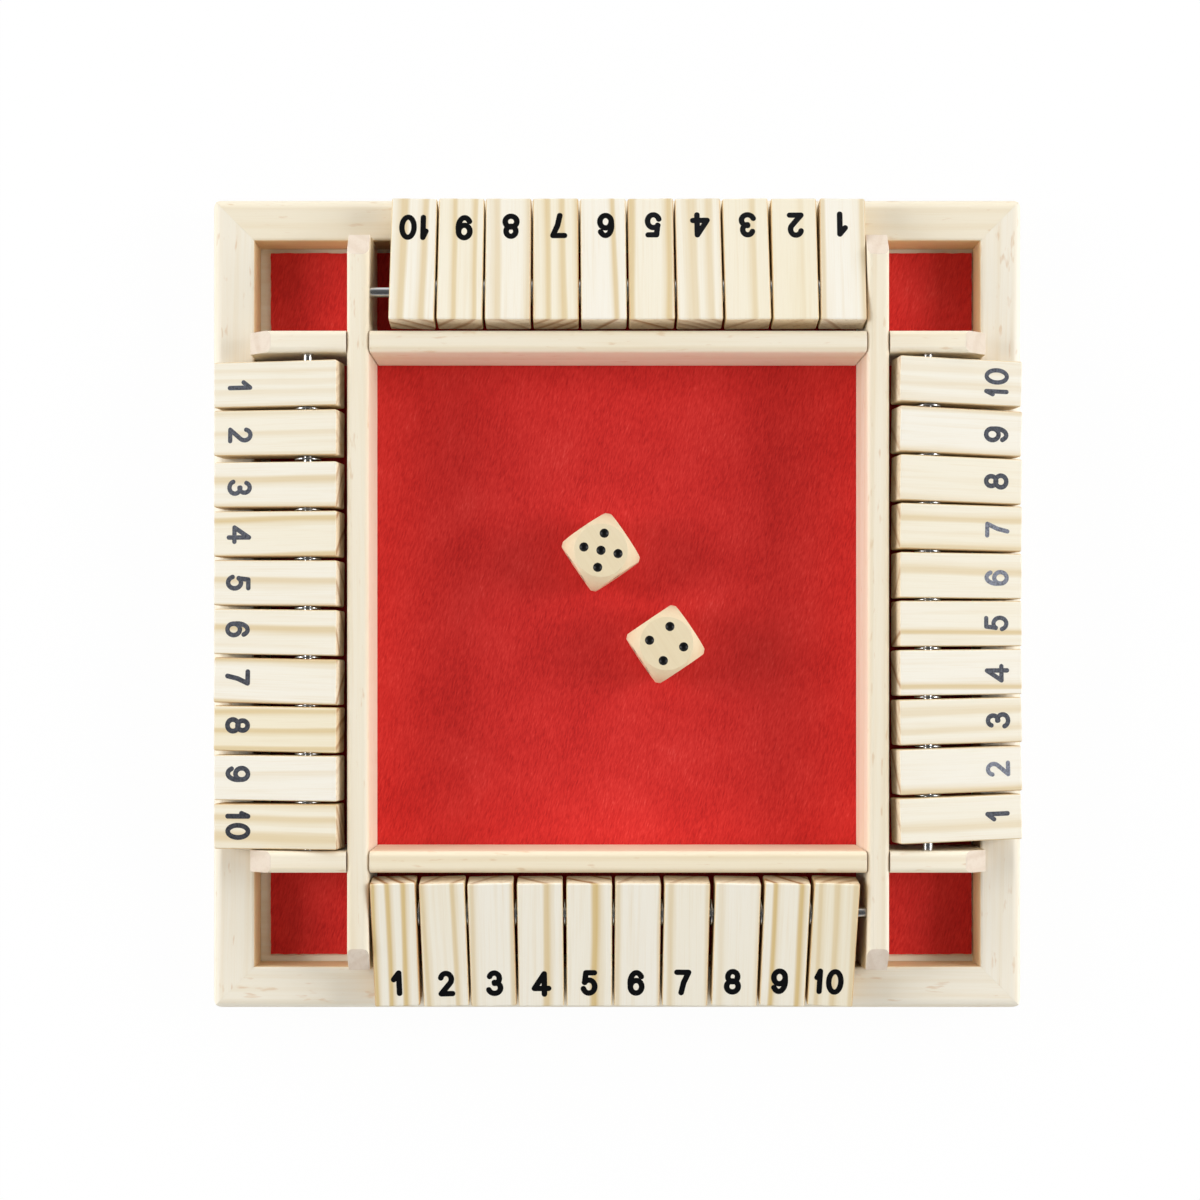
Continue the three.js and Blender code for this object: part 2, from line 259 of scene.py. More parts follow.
# %% Wood
WANDER = 0.8 * MM  # how far a ring strays
WANDER_LENGTH = 9 * MM
BAND_RISE = 1.5 * MM  # late wood darkens over this much
BAND_FALL = 0.7 * MM
FIBRE_WIDTH = 0.3 * MM
STREAK_WIDTH = 1.3 * MM
PATCH_LENGTH = 14 * MM
FLECK_WIDTH = 1.4 * MM  # small resin flecks
FLECK_STRETCH = 0.22
FLECK_COLOUR = "#D3A672"
TRACHEID_DEPTH = 0.05 * MM


def stretched_noise(tree, vector, stretch, width, detail=2):
    """Noise drawn out along the fibres."""
    longer = add(tree, "Mapping", {"Vector": vector, "Scale": (1, stretch, 1)})
    return add(tree, "TexNoise", {"Vector": longer.outputs[0], "Scale": 1 / width, "Detail": detail})


def blend(tree, factor, first, second):
    """A colour between two."""
    mixed = add(tree, "Mix", {0: factor, MIX_A: first, MIX_B: second}, data_type="RGBA")
    return mixed.outputs[MIX_RESULT]


def wood(name, white, cream, late, roughness=0.55, streaks=0.16, fibres_show=0.12, flecks=0.0):
    """Lacquered softwood: early wood from white to cream, with bands of late wood."""
    material, tree = new_material(name)
    grain = add(tree, "Attribute", attribute_name="grain").outputs["Vector"]
    board = add(tree, "SeparateXYZ", {0: add(tree, "Attribute", attribute_name="board").outputs["Vector"]})
    rings, tone, contrast = board.outputs

    # Rings stray slowly along the board and a little faster across it.
    stray = stretched_noise(tree, grain, 0.12, WANDER_LENGTH)
    centred = add(tree, "VectorMath", {0: stray.outputs["Color"], 1: (0.5, 0.5, 0.5)}, operation="SUBTRACT")
    strayed = add(
        tree, "VectorMath", {0: centred.outputs[0], 1: (2 * WANDER,) * 3, 2: grain}, operation="MULTIPLY_ADD"
    )
    across = add(tree, "VectorMath", {0: strayed.outputs[0], 1: (1, 0, 1)}, operation="MULTIPLY")
    radius = add(tree, "VectorMath", {0: across.outputs[0]}, operation="LENGTH")
    count = add(tree, "Math", {0: radius.outputs["Value"], 1: rings}, operation="MULTIPLY")
    phase = add(tree, "Math", {0: count.outputs[0]}, operation="FRACT")
    past = add(tree, "Math", {0: phase.outputs[0], 1: 0.5}, operation="SUBTRACT")
    past = add(tree, "Math", {0: past.outputs[0], 1: rings}, operation="DIVIDE")
    in_band = add(tree, "MapRange", {"Value": past.outputs[0], "From Min": -BAND_RISE, "From Max": BAND_FALL})
    bands = add(
        tree,
        "ValToRGB",
        {0: in_band.outputs[0]},
        stops=[(0.0, grey(0.0)), (1.0, grey(0.0)), (0.3, grey(0.35)), (0.55, grey(0.95)), (0.78, grey(0.85))],
    )

    # Fibres and faint streaks run the length of the board, and wide soft patches cross them.
    fibres = stretched_noise(tree, grain, 0.02, FIBRE_WIDTH, 3).outputs["Fac"]
    faint = stretched_noise(tree, grain, 0.03, STREAK_WIDTH).outputs["Fac"]
    patches = stretched_noise(tree, grain, 0.25, PATCH_LENGTH).outputs["Fac"]
    shade = add(tree, "Math", {0: patches, 1: 0.6, 2: tone}, operation="MULTIPLY_ADD")
    shade = add(tree, "MapRange", {"Value": shade.outputs[0], "From Min": 0.3, "From Max": 1.3})
    early = blend(tree, shade.outputs[0], srgb(white), srgb(cream))
    drawn = add(tree, "MapRange", {"Value": faint, "From Min": 0.5, "From Max": 0.75, "To Max": streaks})
    early = blend(tree, drawn.outputs[0], early, srgb(late))
    drawn = add(tree, "MapRange", {"Value": fibres, "From Min": 0.5, "From Max": 0.75, "To Max": fibres_show})
    early = blend(tree, drawn.outputs[0], early, srgb(late))
    spots = stretched_noise(tree, grain, FLECK_STRETCH, FLECK_WIDTH).outputs["Fac"]
    drawn = add(tree, "MapRange", {"Value": spots, "From Min": 0.64, "From Max": 0.74, "To Max": flecks})
    early = blend(tree, drawn.outputs[0], early, srgb(FLECK_COLOUR))
    weight = add(tree, "Math", {0: bands.outputs["Color"], 1: contrast}, operation="MULTIPLY", use_clamp=True)
    final = blend(tree, weight.outputs[0], early, srgb(late))

    height = add(tree, "Math", {0: fibres, 1: weight.outputs[0]}, operation="ADD")
    bump = add(tree, "Bump", {"Height": height.outputs[0], "Strength": 0.3, "Distance": TRACHEID_DEPTH})
    gloss = add(tree, "MapRange", {"Value": fibres, "To Min": roughness - 0.06, "To Max": roughness + 0.1})
    surface = add(
        tree,
        "BsdfPrincipled",
        {"Base Color": final, "Roughness": gloss.outputs[0], "IOR": 1.45, "Normal": bump.outputs[0]},
    )
    add(tree, "OutputMaterial", {"Surface": surface.outputs[0]})
    return material


rail_pine = wood("pine_sanded_and_lacquered", "#F5EFE1", "#F2E6CB", "#DFC592", streaks=0.12, flecks=0.4)
rail_pine_end = wood("pine_end_grain", "#EDE0D2", "#E4D4C0", "#C9AE92", 0.65, 0.22)
# The rails' upright sides: a darker, more golden wood that is painted shade.
rail_pine_painted_shade = wood("pine_rail_side_painted_shade", "#E8D2A8", "#DDBD88", "#C09058")
tile_pine = wood("pine_planed_tile", "#F6F1E4", "#F3E9CF", "#D9BC7E")
# The tiles' sides: a darker, more golden wood that is painted shade.
tile_pine_painted_shade = wood("pine_sawn_tile_side", "#E9D6AF", "#DFC08A", "#C2925A")
# Tile end grain: end grain is darker than the face, and its late wood is painted darker and more golden
# still, which is painted shade.
tile_pine_end_and_painted_shade = wood("pine_tile_end_grain", "#EEDEC4", "#E4CBA4", "#A06A38", 0.65, 0.3)
die_wood = wood("fine_grained_hardwood_die", "#F0E3C5", "#EAD9B4", "#D2B684", 0.42, 0.08)
print("woods:", rail_pine.name, tile_pine.name, die_wood.name)

# %% [markdown]
# ## Red needle felt, brushed
# The floor is polyester felt about 1 mm thick. Its fibres lie brushed one way, so in the
# photograph it shows fine short strokes that lean to the right, over soft blotches where the
# nap is thicker. Two noise patterns, stretched along the brushing, give the strokes, and a
# slight sheen gives the bloom that fuzz has at a low angle. A real fibre of 0.02 mm is far too
# thin for the picture, so the strokes stand for bundles of fibres.

# %% Felt
BRUSHED = math.radians(-13)  # the lean of the nap from +Y
BUNDLE = 0.32 * MM
BLOTCH = 16 * MM
NAP_DEPTH = 0.12 * MM


def felt():
    """Brushed red felt."""
    material, tree = new_material("polyester_felt_brushed")
    place = add(tree, "TexCoord").outputs["Object"]
    lying = add(tree, "Mapping", {"Vector": place, "Rotation": (0, 0, -BRUSHED)})
    strokes = stretched_noise(tree, lying.outputs[0], 0.16, BUNDLE, 4)
    stray = add(tree, "Mapping", {"Vector": place, "Rotation": (0, 0, math.radians(24))})
    crossing = stretched_noise(tree, stray.outputs[0], 0.25, 1.3 * BUNDLE, 3)
    blotches = add(tree, "TexNoise", {"Vector": place, "Scale": 1 / BLOTCH, "Detail": 3})
    nap = add(tree, "Math", {0: strokes.outputs["Fac"], 1: 0.45}, operation="MULTIPLY")
    for pattern, part in ((crossing, 0.25), (blotches, 0.3)):
        mixed_in = {0: pattern.outputs["Fac"], 1: part, 2: nap.outputs[0]}
        nap = add(tree, "Math", mixed_in, operation="MULTIPLY_ADD")
    colour = add(
        tree,
        "ValToRGB",
        {0: nap.outputs[0]},
        stops=[
            (0.34, srgb("#BC2323")),
            (0.78, srgb("#F2625B")),
            (0.48, srgb("#D52F2C")),
            (0.6, srgb("#E13A36")),
        ],
    )
    bump = add(tree, "Bump", {"Height": nap.outputs[0], "Strength": 0.4, "Distance": NAP_DEPTH})
    surface = add(
        tree,
        "BsdfPrincipled",
        {
            "Base Color": colour.outputs[0],
            "Roughness": 0.92,
            "Specular IOR Level": 0.15,
            "Sheen Weight": 0.1,
            "Sheen Roughness": 0.5,
            "Sheen Tint": srgb("#E88078"),
            "Normal": bump.outputs[0],
        },
    )
    add(tree, "OutputMaterial", {"Surface": surface.outputs[0]})
    return material


red_felt = felt()
print("felt:", red_felt.name)

# %% [markdown]
# ## Plywood, steel and ink
# The base board is thin plywood, left bare, so it is matt. Its veneer is painted paler than the
# rails, as painted light, because the strip of it that shows lies in the rails' shade. The rods
# and washers are bright drawn steel, with fine scratches round the bar. The numbers and pips
# are printed and painted in black. On the two side rows the ink is thin, its strokes print
# thinner, and it turns blue-grey in specks, on some tiles more than on others: the thinning is
# wear, and the blue-grey is painted reflection of the light on the ink. An attribute says how much.

# %% Plywood, steel and ink
VENEER = 1.2 * MM
DRAW_LINES = 0.12 * MM
INK_SPECK = 0.5 * MM


def plywood():
    """Bare veneer with the grain along X, painted pale as painted light where it lies in shade."""
    material, tree = new_material("plywood_bare_painted_light")
    place = add(tree, "TexCoord").outputs["Object"]
    along = add(tree, "Mapping", {"Vector": place, "Scale": (0.04, 1, 1)})
    grain = add(tree, "TexNoise", {"Vector": along.outputs[0], "Scale": 1 / VENEER, "Detail": 2})
    # Near-white stops: painted light, paler than bare plywood, for the strip in the rails' shade.
    colour = add(
        tree, "ValToRGB", {0: grain.outputs["Fac"]}, stops=[(0.3, srgb("#F8EDD8")), (0.7, srgb("#FDF6E6"))]
    )
    bump = add(tree, "Bump", {"Height": grain.outputs["Fac"], "Strength": 0.3, "Distance": TRACHEID_DEPTH})
    surface = add(
        tree, "BsdfPrincipled", {"Base Color": colour.outputs[0], "Roughness": 0.8, "Normal": bump.outputs[0]}
    )
    add(tree, "OutputMaterial", {"Surface": surface.outputs[0]})
    return material


def drawn_steel():
    """Bright drawn steel bar."""
    material, tree = new_material("steel_bright_drawn")
    place = add(tree, "TexCoord").outputs["Object"]
    lines = add(tree, "TexNoise", {"Vector": place, "Scale": 1 / DRAW_LINES, "Detail": 2})
    gloss = add(tree, "MapRange", {"Value": lines.outputs["Fac"], "To Min": 0.16, "To Max": 0.3})
    surface = add(
        tree,
        "BsdfPrincipled",
        {"Base Color": srgb("#D6D8DA"), "Metallic": 1.0, "Roughness": gloss.outputs[0]},
    )
    add(tree, "OutputMaterial", {"Surface": surface.outputs[0]})
    return material


def printing_ink():
    """Pad-printed ink, from full black to a blue-grey that is painted reflection of the light on the ink."""
    material, tree = new_material("ink_pad_printed")
    wear_and_reflection = add(tree, "Attribute", attribute_name="wear_and_reflection").outputs["Fac"]
    place = add(tree, "TexCoord").outputs["Object"]
    specks = add(tree, "TexNoise", {"Vector": place, "Scale": 1 / INK_SPECK, "Detail": 3})
    uneven = add(
        tree,
        "MapRange",
        {"Value": specks.outputs["Fac"], "From Min": 0.3, "From Max": 0.7, "To Min": 0.5, "To Max": 1.45},
    )
    # How far the ink turns blue-grey, in specks: painted reflection.
    painted_reflection_share = add(tree, "Math", {0: wear_and_reflection, 1: uneven.outputs[0]}, operation="MULTIPLY", use_clamp=True)
    colour = blend(tree, painted_reflection_share.outputs[0], srgb("#08090C"), srgb("#8B8F9C"))
    surface = add(
        tree, "BsdfPrincipled", {"Base Color": colour, "Roughness": 0.5, "Specular IOR Level": 0.15}
    )
    add(tree, "OutputMaterial", {"Surface": surface.outputs[0]})
    return material


def pip_enamel():
    """Black enamel dabbed into the pips."""
    material, tree = new_material("enamel_black_gloss")
    place = add(tree, "TexCoord").outputs["Object"]
    dabs = add(tree, "TexNoise", {"Vector": place, "Scale": 1 / INK_SPECK, "Detail": 2})
    colour = blend(tree, dabs.outputs["Fac"], srgb("#060708"), srgb("#101114"))
    surface = add(
        tree, "BsdfPrincipled", {"Base Color": colour, "Roughness": 0.35, "Specular IOR Level": 0.3}
    )
    add(tree, "OutputMaterial", {"Surface": surface.outputs[0]})
    return material


plywood_painted_light = plywood()
steel = drawn_steel()
number_ink = printing_ink()
pip_paint = pip_enamel()
print("steel, plywood and inks made")

# %% [markdown]
# ## Helpers for pieces
# Every piece is shaped in a bmesh and then placed by one function, which gives it its
# materials and its body. Flat faces next to rounded edges need weighted normals, or the
# shading of the round creeps over the flat. Cutting one shape with another is a Boolean
# modifier whose result is read back into a bmesh, so no cutter stays in the scene.

# %% Helpers
SHARP = math.radians(40)
MERGE_WITHIN = 0.001 * MM
RING_SLANTS = (25, 60)  # degrees between the growth rings and a board's face
RINGS_FROM_PITH = (9, 20)
PITH_STRAY = 8  # mm
MOST_SHIFT = 0.4  # metres along the trunk
MOST_TILT = 1.2  # degrees between the fibres and the board
END_FACING = 0.75  # a face that points this much along the fibres is end grain


def object_of(name, bm):
    """A scene object that holds the bmesh's shape."""
    mesh = bpy.data.meshes.new(name)
    bm.to_mesh(mesh)
    bm.free()
    made = bpy.data.objects.new(name, mesh)
    scene.collection.objects.link(made)
    return made


def cut(bm, tool, operation="DIFFERENCE"):
    """The first shape cut by the second, or what the two share."""
    part = object_of("part", bm)
    knife = object_of("knife", tool)
    boolean = part.modifiers.new("cut", "BOOLEAN")
    boolean.operation = operation
    boolean.solver = "EXACT"
    boolean.object = knife
    result = bmesh.new()
    result.from_object(part, bpy.context.evaluated_depsgraph_get())
    for used in (part, knife):
        mesh = used.data
        bpy.data.objects.remove(used)
        bpy.data.meshes.remove(mesh)
    return result


def round_edges(bm, edges, radius, segments, clamp=False):
    """Rounds some edges of a shape."""
    bmesh.ops.bevel(
        bm, geom=edges, offset=radius, segments=segments, profile=0.5, affect="EDGES", material=-1,
        clamp_overlap=clamp,
    )


def ease(bm, radius, segments=3):
    """Rounds every sharp edge a little, as sanding does."""
    edges = [e for e in bm.edges if e.is_manifold and e.calc_face_angle() > SHARP]
    round_edges(bm, edges, radius, segments, clamp=True)


def saw_off(bm, at, normal):
    """Takes off what lies past a plane and closes the cut."""
    everything = bm.verts[:] + bm.edges[:] + bm.faces[:]
    bmesh.ops.bisect_plane(bm, geom=everything, plane_co=at, plane_no=normal, clear_outer=True)
    bmesh.ops.holes_fill(bm, edges=bm.edges)


def block(low, high):
    """A box between two corners."""
    bm = bmesh.new()
    bmesh.ops.create_cube(bm, size=1)
    low, high = Vector(low), Vector(high)
    bmesh.ops.scale(bm, vec=high - low, verts=bm.verts)
    bmesh.ops.translate(bm, vec=(low + high) / 2, verts=bm.verts)
    return bm


def bar(start, end, radius, segments=48):
    """A round bar between two points."""
    bm = bmesh.new()
    start, end = Vector(start), Vector(end)
    along = end - start
    turn = UP.rotation_difference(along).to_matrix().to_4x4()
    place = Matrix.Translation((start + end) / 2) @ turn
    bmesh.ops.create_cone(
        bm, cap_ends=True, segments=segments, radius1=radius, radius2=radius, depth=along.length, matrix=place
    )
    return bm


def clean_copy(node):
    """A CAD node's shape with its triangles joined into whole faces."""
    bm = bmesh.new()
    bm.from_mesh(frame["nodes"][node].data)
    bmesh.ops.remove_doubles(bm, verts=bm.verts, dist=MERGE_WITHIN)
    bmesh.ops.dissolve_limit(bm, angle_limit=math.radians(1), verts=bm.verts, edges=bm.edges)
    return bm


def place_piece(name, bm, body, materials, stands_for=()):
    """Puts a finished shape into the scene as a piece of the game."""
    piece = object_of(name, bm)
    for material in materials:
        piece.data.materials.append(material)
    for polygon in piece.data.polygons:
        polygon.use_smooth = True
    piece.data.set_sharp_from_angle(angle=SHARP)
    normals = piece.modifiers.new("weighted_normals", "WEIGHTED_NORMAL")
    normals.keep_sharp = True
    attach(piece, body)
    if stands_for:
        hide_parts(*stands_for)
    return piece


def saw(bm, seed, along, across, spacing, tone, contrast, through=None):
    """Cuts the board out of its trunk: writes where each point lies from the pith, and marks
    the end grain. Bands cross the face one spacing apart. through is a point that a band
    passes, and otherwise chance sets it."""
    chance = random.Random(seed)
    along, across = Vector(along), Vector(across)
    out = across.cross(along)
    slant = math.radians(chance.choice((-1, 1)) * chance.uniform(*RING_SLANTS))
    ring = spacing * math.cos(slant)
    turns = chance.randint(*RINGS_FROM_PITH) + 0.5
    if through:
        point = Vector(through)
    else:
        point = Vector([chance.uniform(-PITH_STRAY, PITH_STRAY) * MM for _ in range(3)])
    pith = point + turns * ring * (math.cos(slant) * across + math.sin(slant) * out)
    shift = chance.uniform(-MOST_SHIFT, MOST_SHIFT)
    tilt = math.radians(chance.uniform(-MOST_TILT, MOST_TILT))
    grain = bm.verts.layers.float_vector.new("grain")
    board = bm.verts.layers.float_vector.new("board")
    for vert in bm.verts:
        away = vert.co - pith
        run = away.dot(along)
        vert[grain] = (away.dot(across) + run * tilt, run + shift, away.dot(out))
        vert[board] = (1 / ring, tone, contrast)
    bm.normal_update()
    for face in bm.faces:
        face.material_index = int(abs(face.normal.dot(along)) > END_FACING)


print("helpers ready")

# %% [markdown]
# ## Base board and felt
# The plywood board is a plain rectangle, so its CAD node stays and only gets its veneer. The
# felt is a real sheet: a fine grid that lies on the board, slightly uneven, with a cut edge
# that isn't quite straight, and given its thickness at the end. It was cut 194 mm square, a
# little smaller than the tray, so a strip of board shows beside it in the corners.

# %% Base board and felt
FELT_STEPS = 150
FELT_UNEVEN = 0.06 * MM
FELT_FRAY = 0.22 * MM
FRAY_SCALE, UNEVEN_SCALE = 95, 14  # of the noise, per side of the sheet

board_node = frame["nodes"]["base_board"]
board_node.data.materials.clear()
board_node.data.materials.append(plywood_painted_light)

felt_low, felt_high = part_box("felt_sheet")
felt_size = felt_high - felt_low
bm = bmesh.new()
bmesh.ops.create_grid(bm, x_segments=FELT_STEPS, y_segments=FELT_STEPS, size=0.5)
for vert in bm.verts:
    edge_pull = FELT_FRAY * noise.noise(vert.co * FRAY_SCALE) if vert.is_boundary else 0
    sideways = vert.co.normalized() * edge_pull
    lift = FELT_UNEVEN * (noise.noise(vert.co * UNEVEN_SCALE) - 1)
    flat_place = Vector((vert.co.x * felt_size.x, vert.co.y * felt_size.y, lift)) + sideways
    middle = (felt_low + felt_high) / 2
    vert.co = flat_place + Vector((middle.x, middle.y, felt_high.z))
bmesh.ops.solidify(bm, geom=bm.faces, thickness=felt_size.z - FELT_UNEVEN)
bmesh.ops.recalc_face_normals(bm, faces=bm.faces)
felt_piece = place_piece("felt_floor", bm, "tray", [red_felt], ["felt_sheet"])
print("felt:", [round(v / MM, 2) for v in felt_size], "mm")

# %% [markdown]
# ## Rails
# A rail is a moulded strip: its section is drawn once, pulled out along X, and its two top
# edges are rounded, more outside than inside. Its inner and outer upright sides get a darker,
# more golden wood than its top, which is painted shade. A saw at 45 degrees then mitres both
# ends, and the same rounded square trims the tray's upright corners on all four.

# %% Rails
RAIL_ROUND = 2.8 * MM
RAIL_INNER_ROUND = 0.8 * MM
CORNER_ROUND = 2.8 * MM
SEAT_GAP = 0.2 * MM
MITRE_GAP = 0.008 * MM
SAW_PAST = 5 * MM
RAIL_BANDS = 7 * MM
RAIL_CONTRAST = 0.14
RAIL_TONES = {"bottom": 0.25, "right": 0.15, "top": 0.7, "left": 0.35}  # how yellow each board is

rail_low, rail_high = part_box("rail_bottom")
board_low, board_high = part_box("base_board")
tray_half = -rail_low.y
rail_inner = -rail_high.y
rail_height = rail_high.z


def rail_bar():
    """The rail at -Y before its ends are cut."""
    seat = board_high.z + SEAT_GAP
    rebate = board_low.y - SEAT_GAP
    section = [(-tray_half, 0), (rebate, 0), (rebate, seat), (-rail_inner, seat)]
    section += [(-rail_inner, rail_height), (-tray_half, rail_height)]
    bm = bmesh.new()
    corners = [bm.verts.new((-tray_half - SAW_PAST, y, z)) for y, z in section]
    end = bm.faces.new(corners)
    pulled = bmesh.ops.extrude_face_region(bm, geom=[end])["geom"]
    moved = [v for v in pulled if isinstance(v, bmesh.types.BMVert)]
    bmesh.ops.translate(bm, vec=(2 * (tray_half + SAW_PAST), 0, 0), verts=moved)
    bmesh.ops.recalc_face_normals(bm, faces=bm.faces)
    for y, radius, steps in ((-tray_half, RAIL_ROUND, 10), (-rail_inner, RAIL_INNER_ROUND, 5)):
        on_edge = [v for v in bm.verts if abs(v.co.y - y) + abs(v.co.z - rail_height) < MM / 100]
        edges = [e for e in bm.edges if all(v in on_edge for v in e.verts)]
        round_edges(bm, edges, radius, steps)
    return bm


def tray_block():
    """The tray's outline as a block with rounded upright corners."""
    bm = block((-tray_half, -tray_half, -SAW_PAST), (tray_half, tray_half, rail_height + SAW_PAST))
    edges = [e for e in bm.edges if abs((e.verts[0].co - e.verts[1].co).normalized().z) > 0.9]
    round_edges(bm, edges, CORNER_ROUND, 8)
    return bm


def mitre(bm, side):
    """Saws one end off at 45 degrees through the tray's corner."""
    normal = Vector((side, 1, 0)).normalized()
    saw_off(bm, -normal * MITRE_GAP, normal)


for turn, side in enumerate(SIDES):
    bm = cut(rail_bar(), tray_block(), "INTERSECT")
    mitre(bm, 1)
    mitre(bm, -1)
    bmesh.ops.recalc_face_normals(bm, faces=bm.faces)
    saw(bm, "rail " + side, (1, 0, 0), (0, 1, 0), RAIL_BANDS, RAIL_TONES[side], RAIL_CONTRAST)
    # The inner and outer upright faces take the darker second wood, which is painted shade.
    for face in bm.faces:
        inside = abs(face.calc_center_median().y + rail_inner) < MM / 10
        outside = face.normal.y < -0.5 and abs(face.normal.z) < 0.3
        face.material_index = int(outside or (inside and face.normal.y > 0.7))
    bmesh.ops.rotate(bm, matrix=Matrix.Rotation(turn * math.pi / 2, 3, "Z"), verts=bm.verts)
    place_piece("mitred_rail_" + side, bm, "tray", [rail_pine, rail_pine_painted_shade], ["rail_" + side])
print("rails:", round(tray_half * 2 / MM, 1), "mm square,", round(rail_height / MM, 1), "mm high")

# %% [markdown]
# ## Dividers
# The eight dividers are one moulding: a strip whose two top edges are rounded, with a flat
# left between them. Where a divider meets a rail, a sloping cut takes its top corner off. The
# rods' ends go into holes in them.

# %% Dividers
CROWN_ROUND = 1.5 * MM
END_RUN = 6.2 * MM
END_DROP = 4.8 * MM
DIVIDER_EDGE = 0.3 * MM
DIVIDER_BANDS = 5 * MM
DIVIDER_CONTRAST = 0.22
DIVIDER_TONE, YELLOW_TONE = 0.6, 1.3
ROD_RADIUS = 1.35 * MM
joint_of = {joint["name"]: joint for joint in frame["joints"]}


def rod_line(side):
    """A point on a side's rod and its direction."""
    joint = joint_of[f"tile_{side}_1_flip"]
    return Vector(joint["pos_m"]), Vector(joint["axis"])


def rod_hole(side):
    """A bar that is a little fatter than the rod and reaches into both dividers."""
    middle, axis = rod_line(side)
    low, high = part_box("rod_" + side)
    reach = max(high - low) / 2 + 2 * SEAT_GAP
    return bar(middle - axis * reach, middle + axis * reach, ROD_RADIUS + SEAT_GAP, 40)


def divider(node):
    """One divider, built along X and turned into place if it runs along Y."""
    low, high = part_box(node)
    size = high - low
    runs_along_y = size.y > size.x
    if runs_along_y:
        low, high = Vector((low.y, -high.x, low.z)), Vector((high.y, -low.x, high.z))
    bm = block(low, high)
    edges = [e for e in bm.edges if all(abs(v.co.z - high.z) < MM / 100 for v in e.verts)]
    edges = [e for e in edges if abs(e.verts[0].co.y - e.verts[1].co.y) < MM / 100]
    round_edges(bm, edges, CROWN_ROUND, 9)
    for tip, out in ((low.x, -1), (high.x, 1)):
        if abs(tip) < rail_inner - MM:
            continue
        slope = Vector((out * END_DROP, 0, END_RUN)).normalized()
        saw_off(bm, (tip, 0, high.z - END_DROP), slope)
    turn = Matrix.Rotation(math.pi / 2 if runs_along_y else 0, 3, "Z")
    bmesh.ops.rotate(bm, matrix=turn, verts=bm.verts)
    for side in SIDES:
        middle, axis = rod_line(side)
        crosses = abs(axis.x) > 0.5 if runs_along_y else abs(axis.y) > 0.5
        if crosses:
            bm = cut(bm, rod_hole(side))
    ease(bm, DIVIDER_EDGE, 3)
    return bm, turn @ Vector((1, 0, 0)), turn @ Vector((0, 1, 0))


for node in sorted(n for n in frame["nodes"] if "divider" in n):
    bm, along, across = divider(node)
    tone = YELLOW_TONE if node == "well_divider_bottom" else DIVIDER_TONE
    saw(bm, node, along, across, DIVIDER_BANDS, tone, DIVIDER_CONTRAST)
    for face in bm.faces:
        face.material_index = int(abs(face.normal.dot(along)) > 0.5)
    place_piece(node + "_moulding", bm, "tray", [rail_pine, rail_pine_end], [node])
    print(node, "done")

# %% [markdown]
# ## Rods and washers
# Each rod is a bar of bright steel with its ends eased. Between two tiles sits a thin
# pressed washer. The CAD node holds the rod and its washers in one solid, so the washers'
# places are read from it: they are where its surface stands well away from the axis.

# %% Rods and washers
WASHER_RADIUS = 3.6 * MM
WASHER_BORE = 1.5 * MM
WASHER_EDGE = 0.08 * MM
ROD_END_EDGE = 0.3 * MM


def washer_places(side):
    """Where the washers of a side lie along its rod: the middle and thickness of each."""
    middle, axis = rod_line(side)
    stations = set()
    for vert in frame["nodes"]["rod_" + side].data.vertices:
        away = vert.co - middle
        along = away.dot(axis)
        if (away - axis * along).length > 2 * ROD_RADIUS:
            stations.add(round(along / MM, 2))
    ordered = sorted(stations)
    return [((a + b) / 2 * MM, (b - a) * MM) for a, b in zip(ordered[0::2], ordered[1::2])]


def washer(centre, axis, thickness):
    """A ring spun from its small rounded section."""
    bm = bmesh.new()
    half = thickness / 2
    section = [(WASHER_BORE, -half), (WASHER_RADIUS, -half), (WASHER_RADIUS, half), (WASHER_BORE, half)]
    corners = [bm.verts.new((r, 0, h)) for r, h in section]
    ring = bm.faces.new(corners)
    bmesh.ops.bevel(
        bm, geom=ring.verts[:], offset=WASHER_EDGE, segments=2, profile=0.5, affect="VERTICES", material=-1
    )
    profile = bm.edges[:] + bm.verts[:]
    bmesh.ops.delete(bm, geom=bm.faces[:], context="FACES_ONLY")
    bmesh.ops.spin(
        bm, geom=profile, cent=(0, 0, 0), axis=UP, dvec=(0, 0, 0), angle=2 * math.pi, steps=40, use_merge=True
    )
    bmesh.ops.remove_doubles(bm, verts=bm.verts, dist=MERGE_WITHIN)
    bmesh.ops.recalc_face_normals(bm, faces=bm.faces)
    turn = UP.rotation_difference(axis).to_matrix()
    bmesh.ops.rotate(bm, matrix=turn, verts=bm.verts)
    bmesh.ops.translate(bm, vec=centre, verts=bm.verts)
    return bm


for side in SIDES:
    middle, axis = rod_line(side)
    low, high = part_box("rod_" + side)
    reach = max(high - low) / 2
    bm = bar(middle - axis * reach, middle + axis * reach, ROD_RADIUS)
    ease(bm, ROD_END_EDGE, 2)
    place_piece("steel_rod_" + side, bm, "tray", [steel], ["rod_" + side])
    places = washer_places(side)
    for index, (along, thickness) in enumerate(places):
        bm = washer(middle + axis * along, axis, thickness)
        place_piece(f"washer_{side}_{index + 1}", bm, "tray", [steel])
    print(side, "rod with", len(places), "washers")

# %% [markdown]
# ## Tiles
# All forty tiles are the same block, so one is made, with its edges eased and its bore drilled,
# and copied into place. The place comes from the CAD node: its largest upward face gives the
# middle of the tile's face, the long edges of that face give its length, and the face's normal
# gives its slope. The sides, and the eased edges next to them, get a darker, more golden wood of
# their own than the planed face: painted shade, as in the gaps between the tiles.

# %% One tile
TILE_EDGE = 0.5 * MM
BORE_RADIUS = 1.85 * MM


